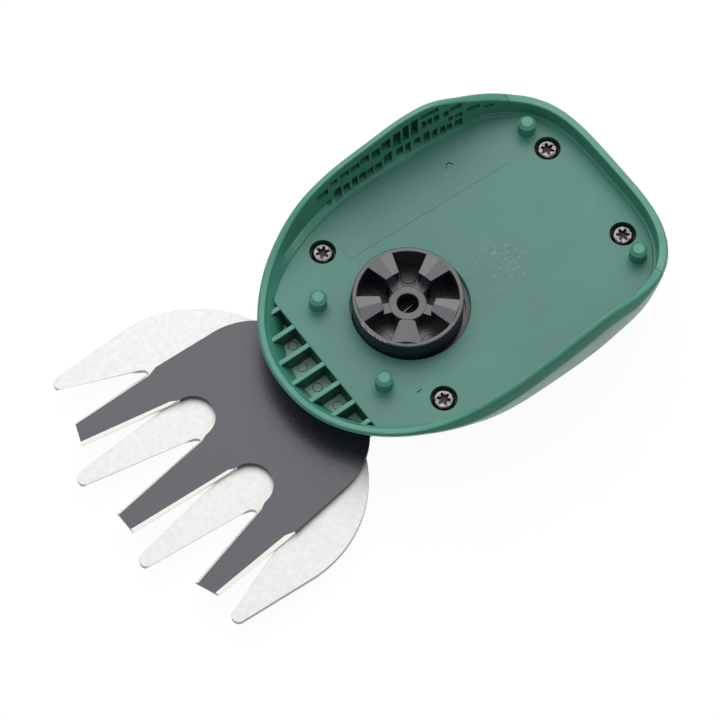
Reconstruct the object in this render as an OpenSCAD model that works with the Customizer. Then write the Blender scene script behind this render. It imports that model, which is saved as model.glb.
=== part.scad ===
// Clip-on blade head of cordless grass shears, lying with its coupling side up.
// +X points along the teeth, +Z is up, and the origin is where the coupling axis meets the resting face.

/* [Tray outline] */
// Half width of the tray at its widest section
half_width = 39.4; // [39:0.1:41]
// Reach of the tray in front of its widest section
front_reach = 54.4; // [54:0.1:57]
// Reach of the tray behind its widest section
rear_reach = 54.3; // [53:0.1:58]
// Place of the widest section along the axis
widest_x = -14; // [-15:0.5:-13]
// Roundness of the front outline, 2 is an ellipse
front_power = 2.15; // [2.1:0.05:2.4]
// Squareness of the rear outline
rear_power = 3.6; // [3.2:0.1:4]

/* [Tray heights] */
// Height of the tray floor over the resting face
floor_z = 16; // [16:0.1:16.6]
// Front lip over the floor
lip_h = 2.2; // [1.6:0.1:3]
// Rear rim over the floor
rear_h = 5.3; // [4.5:0.1:6.5]
// Top of the side wings over the floor
wing_h = 16.4; // [14:0.1:18]
// Crease where the outer wall turns under, over the floor
crease_h = 6; // [4:0.1:6.5]
// Width of the rim top
rim_w = 2.4; // [2.2:0.1:2.8]
// Pegs over the floor
peg_h = 4.7; // [3.5:0.1:5.5]
// Diameter of a locating peg
peg_d = 4.7; // [4:0.1:5]

/* [Coupling] */
// Outer radius of the coupling wheel
wheel_r = 14.42; // [14.2:0.01:14.6]
// Top of the wheel over the floor
wheel_h = 6.25; // [5.5:0.05:7]
// Number of driving dogs
dog_count = 5; // [5:1:5]
// Turn of the first dog from the axis
dog_turn = 51.6; // [0:0.1:72]
// Pilot bore of the hub
pilot_d = 5.9; // [5.8:0.05:6.1]
// Diameter of the fixed axle
axle_d = 4.6; // [4.4:0.1:4.8]

/* [Drive] */
// Throw of the eccentric
throw = 3.65; // [3.5:0.05:3.7]
// Blade pivot in front of the coupling axis
pivot_x = 19.5; // [19.3:0.1:19.7]
// Swing of the moving blade at rest, in degrees
rest_swing = 2.25; // [0:0.05:4]

/* [Blades] */
// Thickness of both blades
blade_t = 1.5; // [1.4:0.05:1.5]
// Height of the seat that the fixed blade lies on
seat_z = 4; // [3.9:0.1:4]
// Radius of the moving blade's tooth gaps
gap_r = 6.05; // [5.5:0.05:6.2]

/* [Screws] */
// Diameter of a tray screw head
head_d = 5.7; // [5.4:0.1:6]
// Depth of a screw head below the floor
head_sink = 0.4; // [0.3:0.1:0.8]

/* [Hidden] */
$fn = 64;

cut = 0.1;
segs = 72;
wall = 2.5;
green = "seagreen";
coated = "dimgray";
steel = "silver";
brass = "goldenrod";

// Parting plane between the two halves of the housing
part_z = floor_z / 2;
floor_t = 2.5;
roof_z = floor_z - floor_t;
rim_draft = 0.2;
floor_inset = 3.5;
hull_side = 2.8;
hull_front = 5.2;
cover_steps = [[0, 5.2], [1.2, 2.8], [4, 0.9], [part_z, 0]];
cover_floor = 2.2;

screw_spots = [[8.05, 26.15], [8.05, -26.15], [-58.26, 15.99], [-58.26, -15.99]];
peg_spots = [[18.13, 14.26], [18.13, -14.26], [-57.03, 23.57], [-57.03, -23.57]];
peg_chamfer = 0.9;
boss_r = 5.4;
sink_r = 3.44;
head_h = 2;
head_z = floor_z - head_sink - head_h;
screw_r = 1.5;
screw_tip = 2.6;
star_r = 1.65;

// Front pocket between a chord and the lip
chord_x = 26.8;
pocket_r = 29.4;
pocket_cx = 7.2;
pocket_z = floor_z - 6;
rib_pitch = 6.57;
rib_t = 1.2;
front_block_x = 24.3;

// Cells in the inner faces of the wings
cell_back = 1.3;
low_cells = [for (i = [0:14]) -4.3 - 2.65 * i];
high_cells = [for (i = [0:11]) 0.6 - 3.1 * i];
low_cell_w = 1.7;
high_cell_w = 2.1;
low_cell_z = [floor_z + 1.8, floor_z + 7.6];
high_cell_z = floor_z + 9;
cell_top_gap = 1.6;

// Wheel levels
hole_r = 15.2;
flange_r = 17;
flange_z = [floor_z - 4.6, floor_z - 3.1];
web_z = [floor_z - 5.4, floor_z - 2.6];
ring_t = 1.25;
hub_r = 5;
hub_z = floor_z + 2.6;
wheel_z = floor_z + wheel_h;
dog_in = 8;
dog_out = wheel_r - ring_t + 0.4;
dog_half = 18;
dog_eave = 0.9;
hub_rib_t = 2.8;
bush_r = 4;
bush_z = [web_z[0], floor_z - 1.5];
run_fit = 0.05;
felt_r = 17.65;
felt_z = [floor_z - 2.8, floor_z - 1.65];

// Moving blade and its drive, which lie just over the fixed blade
fixed_top = seat_z + blade_t;
blade_z = fixed_top + 0.1;
blade_top = blade_z + blade_t;
drive_ratio = atan(throw / pivot_x) / 90;
crank_turn = 180 + rest_swing / drive_ratio;
crank = [throw * cos(crank_turn), throw * sin(crank_turn)];
cam_r = 7.4;
cam_top_r = 8.4;
cam_z = [fixed_top + 0.4, web_z[0]];
ring_r = 8.6;
ring_z = [fixed_top + 0.6, blade_top + 0.5];
slot_gap = 0.9;
slot_r = ring_r + slot_gap;
fork_r = slot_r + 3.9;
fork_back = -13.5;
cam_screw_spots = [[4.6, 3.9], [4.6, -3.9]];
cam_screw_r = 1.25;
cam_head_r = 2.2;
cam_head_h = 1.6;
axle_z = [1.2, floor_z - 1.8];
washer_t = 0.3;

// Pivot stack, from the pin's head upwards
pin_r = 3;
pin_head_r = 5;
pin_head_z = 2.4;
pin_top = fixed_top + 4.7;
pivot_bush_r = 4;
pivot_bush_top = blade_top + 0.2;
flat_washer_z = [pivot_bush_top + 0.1, pivot_bush_top + 0.7];
spring_z = [flat_washer_z[1], flat_washer_z[1] + 0.8];
clip_z = [spring_z[1], spring_z[1] + 0.7];
washer_r = 5.5;
groove = 0.5;
relief_r = 6.2;

blade_screw_spots = [[12.5, 18.2], [12.5, -18.2]];
blade_screw_r = 1.5;
blade_head_r = 2.8;
blade_head_h = 1.8;
nut_across = 5.5;
nut_t = 2.4;

// Smooth step from 0 to 1
function ease(t) = let (u = max(0, min(1, t))) u * u * (3 - 2 * u);

// Height of the rim top along the axis: low lip, tall wings, low rear rim
function rim_top(x) = floor_z + lip_h + (wing_h - lip_h) * ease((38 - x) / 66)
    - (wing_h - rear_h) * ease((-34 - x) / 25);

// Point of the tray outline at a polar angle, moved inwards by d
function outline(a, d = 0) = let (
    n = cos(a) >= 0 ? front_power : rear_power,
    rx = (cos(a) >= 0 ? front_reach : rear_reach) - d,
    r = pow(pow(abs(cos(a)) / rx, n) + pow(abs(sin(a)) / (half_width - d), n), -1 / n)
) [widest_x + r * cos(a), r * sin(a)];

// Half width of the outline at x
function outline_y(x, d = 0) = let (
    n = x >= widest_x ? front_power : rear_power,
    rx = (x >= widest_x ? front_reach : rear_reach) - d
) (half_width - d) * pow(1 - pow(abs(x - widest_x) / rx, n), 1 / n);

// How far the hull has drawn in at the parting plane
function hull_inset(a) = hull_side + (hull_front - hull_side) * ease((outline(a).x + 10) / 25);

function turn_of(i) = 360 * i / segs;
function level(d, z) = [for (i = [0:segs - 1]) let (p = outline(turn_of(i), d)) [p.x, p.y, z]];
function hull_level(d, z) = [for (i = [0:segs - 1])
    let (a = turn_of(i), p = outline(a, hull_inset(a) + d)) [p.x, p.y, z]];
function rim_level(d, drop) = [for (i = [0:segs - 1])
    let (a = turn_of(i), p = outline(a, d)) [p.x, p.y, rim_top(outline(a).x) - drop]];
function crease_level() = [for (i = [0:segs - 1])
    let (p = outline(turn_of(i))) [p.x, p.y, min(floor_z + crease_h, rim_top(p.x) - 1.4)]];
function flat(ring) = [for (p = ring) [p.x, p.y]];

// Solid through a stack of rings with the same number of points
module loft(rings) {
    n = len(rings[0]);
    sides = [for (k = [0:len(rings) - 2], i = [0:n - 1], half = [0, 1]) let (j = (i + 1) % n)
        half == 0 ? [k * n + i, (k + 1) * n + i, (k + 1) * n + j] : [k * n + i, (k + 1) * n + j, k * n + j]];
    bottom = [for (i = [0:n - 1]) i];
    top = [for (i = [n - 1:-1:0]) (len(rings) - 1) * n + i];
    polyhedron([for (r = rings, p = r) p], concat([bottom], sides, [top]));
}

module slab(z0, z1) { translate([0, 0, z0]) linear_extrude(z1 - z0) children(); }
module disc(r, z0, z1) { translate([0, 0, z0]) cylinder(r = r, h = z1 - z0); }
module sleeve(r_out, r_in, z0, z1) {
    difference() {
        disc(r_out, z0, z1);
        disc(r_in, z0 - cut, z1 + cut);
    }
}
module at(spots) { for (s = spots) translate([s.x, s.y, 0]) children(); }

// Housing
module front_pockets() {
    slab(pocket_z, floor_z + cut) difference() {
        intersection() {
            translate([pocket_cx, 0]) circle(r = pocket_r);
            translate([chord_x, -half_width]) square([front_reach, 2 * half_width]);
        }
        for (k = [-3:3]) translate([chord_x - 1, k * rib_pitch - rib_t / 2]) square([20, rib_t]);
    }
}

module wing_cells() {
    for (side = [0, 1]) mirror([0, side, 0]) {
        for (x = low_cells) cell(x, low_cell_w, low_cell_z[0], low_cell_z[1]);
        for (x = high_cells) cell(x, high_cell_w, high_cell_z, rim_top(x) - cell_top_gap);
    }
}

module cell(x, w, z0, z1) {
    deep = outline_y(x) - cell_back;
    if (z1 - z0 > 1) translate([x - w / 2, deep - 4, z0]) cube([w, 4, z1 - z0]);
}

module underside() {
    difference() {
        slab(part_z - cut, roof_z) polygon(flat(hull_level(wall, 0)));
        translate([front_block_x, -half_width, 0]) cube([front_reach, 2 * half_width, floor_z]);
        at(screw_spots) disc(boss_r, 0, floor_z);
    }
}

module upper_housing() {
    color(green) {
        difference() {
            loft([hull_level(0, part_z), crease_level(), rim_level(rim_draft, 0),
                rim_level(rim_w, 0), level(floor_inset, floor_z)]);
            front_pockets();
            wing_cells();
            underside();
            disc(hole_r, 0, floor_z + cut);
            disc(felt_r + run_fit, 0, felt_z[1]);
            translate([pivot_x, 0, 0]) disc(relief_r, 0, pin_top + 0.4);
            at(screw_spots) {
                disc(sink_r, head_z, floor_z + cut);
                disc(screw_r + 0.2, 0, floor_z);
            }
        }
        at(peg_spots) {
            disc(peg_d / 2, floor_z - 1, floor_z + peg_h - peg_chamfer);
            translate([0, 0, floor_z + peg_h - peg_chamfer])
                cylinder(r1 = peg_d / 2, r2 = peg_d / 2 - peg_chamfer, h = peg_chamfer);
        }
    }
}

module lower_cover() {
    color(green) difference() {
        loft([for (s = cover_steps) hull_level(s[1], s[0])]);
        difference() {
            union() {
                slab(cover_floor, cover_steps[2][0]) polygon(flat(hull_level(cover_steps[1][1] + wall, 0)));
                slab(cover_steps[2][0] - cut, part_z + cut) polygon(flat(hull_level(cover_steps[2][1] + wall, 0)));
            }
            translate([-14, -22, 0]) cube([80, 44, seat_z]);
            at(screw_spots) disc(boss_r, 0, part_z + 1);
        }
        translate([14, -half_width, seat_z]) cube([front_reach, 2 * half_width, part_z]);
        disc(axle_d / 2, axle_z[0], part_z);
        translate([pivot_x, 0, 0]) disc(pin_head_r + 0.2, pin_head_z, part_z);
        at(screw_spots) disc(screw_r, screw_tip, part_z + cut);
        at(blade_screw_spots) {
            disc(blade_screw_r + 0.15, -cut, part_z);
            translate([0, 0, -cut]) cylinder(d = (nut_across + 0.3) / cos(30), h = nut_t + 2 * cut, $fn = 6);
        }
    }
}

// Coupling wheel
module dog() {
    intersection() {
        slab(web_z[1] - cut, wheel_z) polygon([
            [dog_in * cos(dog_half), -dog_in * sin(dog_half)], [dog_out * cos(dog_half), -dog_out * sin(dog_half)],
            [dog_out * cos(dog_half), dog_out * sin(dog_half)], [dog_in * cos(dog_half), dog_in * sin(dog_half)]]);
        rotate([90, 0, 90]) linear_extrude(wheel_r) polygon([
            [-dog_in, 0], [dog_in, 0], [dog_in, wheel_z - 2 * dog_eave], [0, wheel_z - 0.15],
            [-dog_in, wheel_z - 2 * dog_eave]]);
    }
}

module drive_coupling() {
    color("black") difference() {
        union() {
            disc(wheel_r, web_z[0], web_z[1]);
            disc(flange_r, flange_z[0], flange_z[1]);
            sleeve(wheel_r, wheel_r - ring_t, web_z[1] - cut, wheel_z);
            disc(hub_r, web_z[0], hub_z);
            for (k = [0:dog_count - 1]) rotate(dog_turn + 360 * k / dog_count) {
                dog();
                translate([hub_r - 1, -hub_rib_t / 2, web_z[1] - cut]) cube([dog_in - hub_r + 1, hub_rib_t,
                    hub_z - 0.4 - web_z[1]]);
            }
        }
        disc(pilot_d / 2, bush_z[1] - cut, hub_z + cut);
        disc(bush_r, bush_z[0] - cut, bush_z[1]);
        rotate(crank_turn) at(cam_screw_spots) disc(cam_screw_r, web_z[0] - cut, web_z[1] - 0.6);
    }
}

module hub_bush() { color(brass) sleeve(bush_r, axle_d / 2 + run_fit, bush_z[0], bush_z[1]); }

module eccentric_cam() {
    color(steel) difference() {
        translate([crank.x, crank.y, 0]) {
            disc(cam_r, cam_z[0], cam_z[1]);
            disc(cam_top_r, ring_z[1] + 0.2, cam_z[1]);
        }
        disc(axle_d / 2 + 0.2, 0, floor_z);
        rotate(crank_turn) at(cam_screw_spots) {
            disc(cam_screw_r, 0, floor_z);
            disc(cam_head_r, 0, cam_z[0] + cam_head_h + 0.1);
        }
    }
}

module cam_screws() {
    color(steel) rotate(crank_turn) at(cam_screw_spots) {
        disc(cam_screw_r, cam_z[0] + 0.5, web_z[1] - 0.8);
        disc(cam_head_r - 0.1, cam_z[0] + 0.1, cam_z[0] + cam_head_h + 0.1);
    }
}

module cam_ring() {
    color(brass) translate([crank.x, crank.y, 0]) sleeve(ring_r, cam_r + run_fit, ring_z[0], ring_z[1]);
}

module coupling_axle() {
    color(steel) difference() {
        disc(axle_d / 2, axle_z[0], axle_z[1]);
        rotate(35) translate([-axle_d, -0.4, axle_z[1] - 0.9]) cube([2 * axle_d, 0.8, 2]);
    }
}

module thrust_washer() { color(brass) sleeve(washer_r, axle_d / 2 + 0.1, fixed_top, fixed_top + washer_t); }

module felt_ring() { color("gainsboro") sleeve(felt_r, hole_r, felt_z[0], felt_z[1]); }

// Blades
function arc(c, r, a0, a1, steps) = [for (i = [0:steps])
    let (a = a0 + (a1 - a0) * i / steps) [c.x + r * cos(a), c.y + r * sin(a)]];
function both_sides(half) = concat(half, [for (i = [len(half) - 1:-1:0]) [half[i].x, -half[i].y]]);

// Moving blade: forked tail, round shoulder, outer tooth, round gap, half of the middle tooth
moving_half = concat([[fork_back, fork_r], [14, fork_r], [23, 15]],
    arc([43, 8], 20, 140, 92, 6), [[59, 29.4], [59.4, 28.45], [84.5, 29.8], [86.6, 24.5]],
    arc([60.1, 12.1], gap_r, 95, 265, 10), [[90.9, 2.85]]);

// Fixed blade: tail, round shoulder, outer tooth, gap, inner tooth, half of the middle gap
fixed_half = concat([[-12, 15], [-9, 18], [5, 18], [9, 21.4], [22, 21.4]], arc([60.3, 10.2], 32.5, 150, 90, 8),
    [[82.2, 41.6]], arc([82.4, 40.1], 1.5, 80, -60, 4), [[63.4, 30.6], [62.2, 29.3], [62.2, 19.4], [63.4, 18.1],
    [92.4, 15.9]], arc([92, 13.9], 2, 75, -75, 5), [[63.4, 6.4], [62.2, 5.2]]);

module moving_blade() {
    color(coated) translate([pivot_x, 0, 0]) rotate(rest_swing) translate([-pivot_x, 0, 0])
        slab(blade_z, blade_top) difference() {
            polygon(both_sides(moving_half));
            translate([throw, 0]) circle(r = slot_r);
            translate([fork_back - 1, -slot_r]) square([throw - fork_back + 1, 2 * slot_r]);
            translate([pivot_x, 0]) circle(r = pivot_bush_r);
        }
}

module fixed_blade() {
    color(steel) slab(seat_z, fixed_top) difference() {
        polygon(both_sides(fixed_half));
        circle(r = axle_d / 2 + 0.2);
        translate([pivot_x, 0]) circle(r = pin_r);
        at(blade_screw_spots) circle(r = blade_screw_r + 0.15);
    }
}

module pivot_bush() {
    color(brass) translate([pivot_x, 0, 0]) sleeve(pivot_bush_r, pin_r + run_fit, blade_z, pivot_bush_top);
}

module pivot_pin() {
    color(steel) translate([pivot_x, 0, 0]) difference() {
        union() {
            disc(pin_r, pin_head_z, pin_top);
            disc(pin_head_r, pin_head_z, seat_z);
        }
        sleeve(pin_r + 1, pin_r - groove, clip_z[0], clip_z[1]);
    }
}

module pivot_washer() {
    color(steel) translate([pivot_x, 0, 0]) sleeve(washer_r, pin_r + 0.1, flat_washer_z[0], flat_washer_z[1]);
}

// Cupped spring washer
module spring_washer() {
    color("gray") translate([pivot_x, 0, 0]) rotate_extrude() polygon([[pin_r + 0.1, spring_z[1] - 0.4],
        [washer_r, spring_z[0]], [washer_r, spring_z[0] + 0.4], [pin_r + 0.1, spring_z[1]]]);
}

module pivot_circlip() {
    color(steel) translate([pivot_x, 0, 0]) difference() {
        sleeve(pin_r + 1.4, pin_r - groove, clip_z[0], clip_z[1]);
        translate([0, -pin_r * 0.55, 0]) cube([2 * pin_r, 1.1 * pin_r, floor_z]);
    }
}

// Fasteners
module star_recess(z) {
    disc(star_r * 0.72, z - 1.2, z + cut);
    for (k = [0:2]) rotate(60 * k) translate([-star_r, -star_r * 0.26, z - 1.2]) cube([2 * star_r, star_r * 0.52, 2]);
}

module blade_screws() {
    color(steel) at(blade_screw_spots) difference() {
        union() {
            disc(blade_screw_r, 0.3, fixed_top + cut);
            disc(blade_head_r, fixed_top, fixed_top + blade_head_h);
        }
        star_recess(fixed_top + blade_head_h);
    }
}

module blade_nuts() {
    color(steel) at(blade_screw_spots) difference() {
        translate([0, 0, cut]) cylinder(d = nut_across / cos(30), h = nut_t - 2 * cut, $fn = 6);
        disc(blade_screw_r, 0, nut_t);
    }
}

module housing_screws() {
    color("rosybrown") at(screw_spots) difference() {
        union() {
            disc(screw_r, screw_tip + 0.2, head_z + cut);
            disc(head_d / 2, head_z, head_z + head_h);
        }
        star_recess(head_z + head_h);
    }
}

upper_housing();
lower_cover();
drive_coupling();
hub_bush();
eccentric_cam();
cam_screws();
cam_ring();
coupling_axle();
thrust_washer();
felt_ring();
moving_blade();
pivot_bush();
fixed_blade();
pivot_pin();
pivot_washer();
spring_washer();
pivot_circlip();
blade_screws();
blade_nuts();
housing_screws();
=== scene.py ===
import math

import bmesh
import bpy
from mathutils import Matrix, Vector


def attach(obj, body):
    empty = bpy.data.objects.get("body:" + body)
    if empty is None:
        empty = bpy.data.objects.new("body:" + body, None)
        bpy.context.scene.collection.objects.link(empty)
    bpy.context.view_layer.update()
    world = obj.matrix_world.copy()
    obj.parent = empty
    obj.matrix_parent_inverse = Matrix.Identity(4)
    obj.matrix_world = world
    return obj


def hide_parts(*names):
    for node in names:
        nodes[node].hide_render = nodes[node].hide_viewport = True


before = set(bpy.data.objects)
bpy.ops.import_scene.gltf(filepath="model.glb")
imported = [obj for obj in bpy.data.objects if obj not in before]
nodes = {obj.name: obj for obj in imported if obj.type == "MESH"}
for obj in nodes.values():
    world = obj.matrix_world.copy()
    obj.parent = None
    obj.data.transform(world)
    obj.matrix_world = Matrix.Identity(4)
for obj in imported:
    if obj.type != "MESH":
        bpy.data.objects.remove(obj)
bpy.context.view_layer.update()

# Lower cover: bottom half of the housing, a shallow boat-shaped moulding in green plastic.
# It carries the axle and the fixed blade, and four screws from the tray above pull it up
# against the parting plane. Its front is open over the whole width for the blades.
MM = 0.001
TURNS = 256
HALF_WIDTH = 39.4
FRONT_REACH = 54.4
REAR_REACH = 54.3
WIDEST_X = -14.0
FRONT_POWER = 2.15
REAR_POWER = 3.6
PART_Z = 8.0
SEAT_Z = 4.0
COVER_FLOOR = 2.2
COVER_ROLL = 5.2
COVER_POWER = 1.35
CAVITY_IN = 3.4
WELL_IN = 5.3
BLADE_SEAT = (-14, 66, -22, 22)
BLADE_MOUTH = (14, 80, -45, 45)
SCREW_SPOTS = [(8.05, 26.15), (8.05, -26.15), (-58.26, 15.99), (-58.26, -15.99)]
BLADE_SCREW_SPOTS = [(12.5, 18.2), (12.5, -18.2)]
BOSS_R = 5.4
THREAD_R = 1.5
THREAD_END = 2.6
NUT_R = 3.35
NUT_TOP = 2.5
SHANK_R = 1.65
AXLE_R = 2.3
AXLE_FOOT = 1.2
PIVOT_X = 19.5
PIN_HEAD_R = 5.2
PIN_HEAD_Z = 2.4
# how far the hull has drawn in at the parting plane, by x from front to rear
HULL_IN = [(41, 5.4), (34, 5.9), (27, 6.1), (21, 5.8), (15, 5.2), (8, 4.4), (0, 3.6), (-12, 3.2), (-26, 3.1),
           (-36, 3.1), (-44, 3.1), (-50, 2.7), (-54, 2.2), (-58, 1.7), (-62, 1.4), (-66, 1.7), (-69, 2.4)]
GREEN = (0.048, 0.235, 0.168)


def outline(turn, inset=0.0):
    """Plan outline of the housing at a polar angle, moved inwards by inset."""
    c, s = math.cos(turn), math.sin(turn)
    power, reach = (FRONT_POWER, FRONT_REACH) if c >= 0 else (REAR_POWER, REAR_REACH)
    across = (abs(c) / (reach - inset)) ** power + (abs(s) / (HALF_WIDTH - inset)) ** power
    r = across ** (-1 / power)
    return WIDEST_X + r * c, r * s


def around(point_of, turns=TURNS):
    """One ring of points, from a function of the polar angle."""
    return [point_of(2 * math.pi * i / turns) for i in range(turns)]


def along(table, x):
    """Smooth curve through a table of (x, value) that is listed from front to rear."""
    if x >= table[0][0] or x <= table[-1][0]:
        return table[0][1] if x >= table[0][0] else table[-1][1]
    k = max(i for i in range(len(table) - 1) if table[i][0] >= x)
    span = table[k + 1][0] - table[k][0]
    lean = []
    for i in (k, k + 1):
        before, after = table[max(i - 1, 0)], table[min(i + 1, len(table) - 1)]
        lean.append(span * (after[1] - before[1]) / (after[0] - before[0]))
    t = (x - table[k][0]) / span
    return (table[k][1] * (2 * t ** 3 - 3 * t ** 2 + 1) + lean[0] * (t ** 3 - 2 * t ** 2 + t)
            + table[k + 1][1] * (3 * t ** 2 - 2 * t ** 3) + lean[1] * (t ** 3 - t ** 2))


def hull_inset(turn):
    """How far the hull has drawn in at the parting plane: more at the front than at the flanks."""
    return along(HULL_IN, outline(turn)[0])


def hull_ring(inset, z):
    return around(lambda a: (*outline(a, hull_inset(a) + inset), z))


def new_piece(name, points, faces):
    """A mesh object at the origin, from points in millimetres."""
    mesh = bpy.data.meshes.new(name)
    mesh.from_pydata([(x * MM, y * MM, z * MM) for x, y, z in points], [], faces)
    mesh.update()
    piece = bpy.data.objects.new(name, mesh)
    bpy.context.scene.collection.objects.link(piece)
    return piece


def loft(name, rings):
    """Closed skin over a stack of rings, flat at both ends."""
    n = len(rings[0])
    faces = [tuple(reversed(range(n)))]
    for k in range(len(rings) - 1):
        for i in range(n):
            j = (i + 1) % n
            faces.append((k * n + i, k * n + j, (k + 1) * n + j, (k + 1) * n + i))
    top = (len(rings) - 1) * n
    faces.append(tuple(range(top, top + n)))
    return new_piece(name, [p for ring in rings for p in ring], faces)


def plate(name, flat, z0, z1):
    """A flat outline, counter-clockwise, given a thickness."""
    return loft(name, [[(x, y, z0) for x, y in flat], [(x, y, z1) for x, y in flat]])


def block(name, x0, x1, y0, y1, z0, z1):
    return plate(name, [(x0, y0), (x1, y0), (x1, y1), (x0, y1)], z0, z1)


def disc(name, x, y, r, z0, z1, sides=64):
    return plate(name, [(x + r * c, y + r * s) for c, s in
                        around(lambda a: (math.cos(a), math.sin(a)), sides)], z0, z1)


def settle(piece):
    """Writes a piece's modifiers into its mesh and takes them off."""
    bpy.context.view_layer.update()
    graph = bpy.context.evaluated_depsgraph_get()
    mesh = bpy.data.meshes.new_from_object(piece.evaluated_get(graph))
    piece.modifiers.clear()
    piece.data = mesh


def work_in(piece, tool, operation="DIFFERENCE"):
    """Cuts a tool out of a piece, or joins it on, and throws the tool away."""
    boolean = piece.modifiers.new(operation, "BOOLEAN")
    boolean.operation = operation
    boolean.solver = "EXACT"
    boolean.object = tool
    settle(piece)
    bpy.data.objects.remove(tool)
    return piece


def smooth(piece, angle=30):
    """Smooth shading, with edges over angle kept crisp and level faces kept flat."""
    piece.data.shade_smooth()
    piece.data.set_sharp_from_angle(angle=math.radians(angle))
    for face in piece.data.polygons:
        face.use_smooth = abs(face.normal.z) < 0.9999
    return piece


def coat(piece, *finishes):
    """Gives a mesh these finishes, the first one all over."""
    piece.data.materials.clear()
    for finish in finishes:
        piece.data.materials.append(finish)
    for face in piece.data.polygons:
        face.material_index = 0
    return piece


def new_finish(name, colour, roughness, metallic=0.0, specular=0.5):
    finish = bpy.data.materials.new(name)
    finish.use_nodes = True
    shader = finish.node_tree.nodes["Principled BSDF"]
    shader.inputs["Base Color"].default_value = (*colour, 1)
    shader.inputs["Roughness"].default_value = roughness
    shader.inputs["Metallic"].default_value = metallic
    shader.inputs["Specular IOR Level"].default_value = specular
    return finish


def noise(finish, scale, detail=3.0, stretch=(1, 1, 1)):
    """Noise on the piece's own coordinates, scale being features in a metre."""
    tree = finish.node_tree
    place = tree.nodes.new("ShaderNodeTexCoord")
    stretched = tree.nodes.new("ShaderNodeMapping")
    stretched.inputs["Scale"].default_value = stretch
    grain = tree.nodes.new("ShaderNodeTexNoise")
    grain.inputs["Scale"].default_value = scale
    grain.inputs["Detail"].default_value = detail
    tree.links.new(place.outputs["Object"], stretched.inputs["Vector"])
    tree.links.new(stretched.outputs["Vector"], grain.inputs["Vector"])
    return grain.outputs["Fac"]


# most of a noise's values lie in this span
NOISE_SPAN = (0.3, 0.7)


def graded(finish, value, low, high, dark, light):
    """Colour that goes from dark to light as value goes from low to high."""
    ramp = finish.node_tree.nodes.new("ShaderNodeValToRGB")
    ramp.color_ramp.elements[0].position = low
    ramp.color_ramp.elements[1].position = high
    ramp.color_ramp.elements[0].color = (*dark, 1)
    ramp.color_ramp.elements[1].color = (*light, 1)
    finish.node_tree.links.new(value, ramp.inputs["Fac"])
    return ramp.outputs["Color"]


def ranged(finish, value, low, high, at_low, at_high):
    """Number that goes from at_low to at_high as value goes from low to high."""
    span = finish.node_tree.nodes.new("ShaderNodeMapRange")
    for name, number in (("From Min", low), ("From Max", high), ("To Min", at_low), ("To Max", at_high)):
        span.inputs[name].default_value = number
    finish.node_tree.links.new(value, span.inputs["Value"])
    return span.outputs["Result"]


def into(finish, socket, value):
    shader = finish.node_tree.nodes["Principled BSDF"]
    finish.node_tree.links.new(value, shader.inputs[socket])


def mottled(finish, value, low, high, dark, light):
    """Base colour from dark to light as value goes from low to high."""
    into(finish, "Base Color", graded(finish, value, low, high, dark, light))


def uneven_gloss(finish, grain, low, high):
    """Roughness that goes from low to high with a noise."""
    into(finish, "Roughness", ranged(finish, grain, *NOISE_SPAN, low, high))


def raised(finish, height, strength, depth):
    """Bump from a height, depth in millimetres."""
    bump = finish.node_tree.nodes.new("ShaderNodeBump")
    bump.inputs["Strength"].default_value = strength
    bump.inputs["Distance"].default_value = depth * MM
    finish.node_tree.links.new(height, bump.inputs["Height"])
    into(finish, "Normal", bump.outputs["Normal"])


def moulded(name, colour, roughness, low, high, specular=0.5, relief=0.12):
    """Green plastic with an uneven gloss and the fine grain of its mould."""
    finish = new_finish(name, colour, roughness, 0.0, specular)
    uneven_gloss(finish, noise(finish, 900), low, high)
    raised(finish, noise(finish, 2600, 2), relief, 0.05)
    return finish


def shade(colour, factor):
    return tuple(c * factor for c in colour)


moulded_green = moulded("moulded_green", GREEN, 0.36, 0.30, 0.42)
mottled(moulded_green, noise(moulded_green, 140, 4), *NOISE_SPAN, shade(GREEN, 0.93), shade(GREEN, 1.07))

cover_levels = [PART_Z * (1 - math.cos(math.radians(a))) for a in range(0, 91, 9)]
lower_cover = loft("cover_shell", [
    hull_ring(COVER_ROLL * (1 - z / PART_Z) ** COVER_POWER, z) for z in cover_levels])
cavity = plate("cover_cavity", [p[:2] for p in hull_ring(CAVITY_IN, 0)], SEAT_Z, PART_Z + 1)
well = plate("cover_well", [p[:2] for p in hull_ring(WELL_IN, 0)], COVER_FLOOR, SEAT_Z + 0.5)
work_in(well, block("blade_seat", *BLADE_SEAT, 0, SEAT_Z))
work_in(cavity, well, "UNION")
for x, y in SCREW_SPOTS:
    work_in(cavity, disc("boss", x, y, BOSS_R, 0, PART_Z + 2))
work_in(lower_cover, cavity)
work_in(lower_cover, block("blade_mouth", *BLADE_MOUTH, SEAT_Z, PART_Z + 1))
for x, y in SCREW_SPOTS:
    work_in(lower_cover, disc("thread_hole", x, y, THREAD_R, THREAD_END, PART_Z + 1))
for x, y in BLADE_SCREW_SPOTS:
    work_in(lower_cover, disc("nut_pocket", x, y, NUT_R, -1, NUT_TOP, 6))
    work_in(lower_cover, disc("shank_hole", x, y, SHANK_R, -1, PART_Z))
work_in(lower_cover, disc("axle_hole", 0, 0, AXLE_R, AXLE_FOOT, PART_Z))
work_in(lower_cover, disc("pin_head_hole", PIVOT_X, 0, PIN_HEAD_R, PIN_HEAD_Z, PART_Z))
smooth(coat(lower_cover, moulded_green))
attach(lower_cover, "base")
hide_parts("lower_cover")

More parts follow.
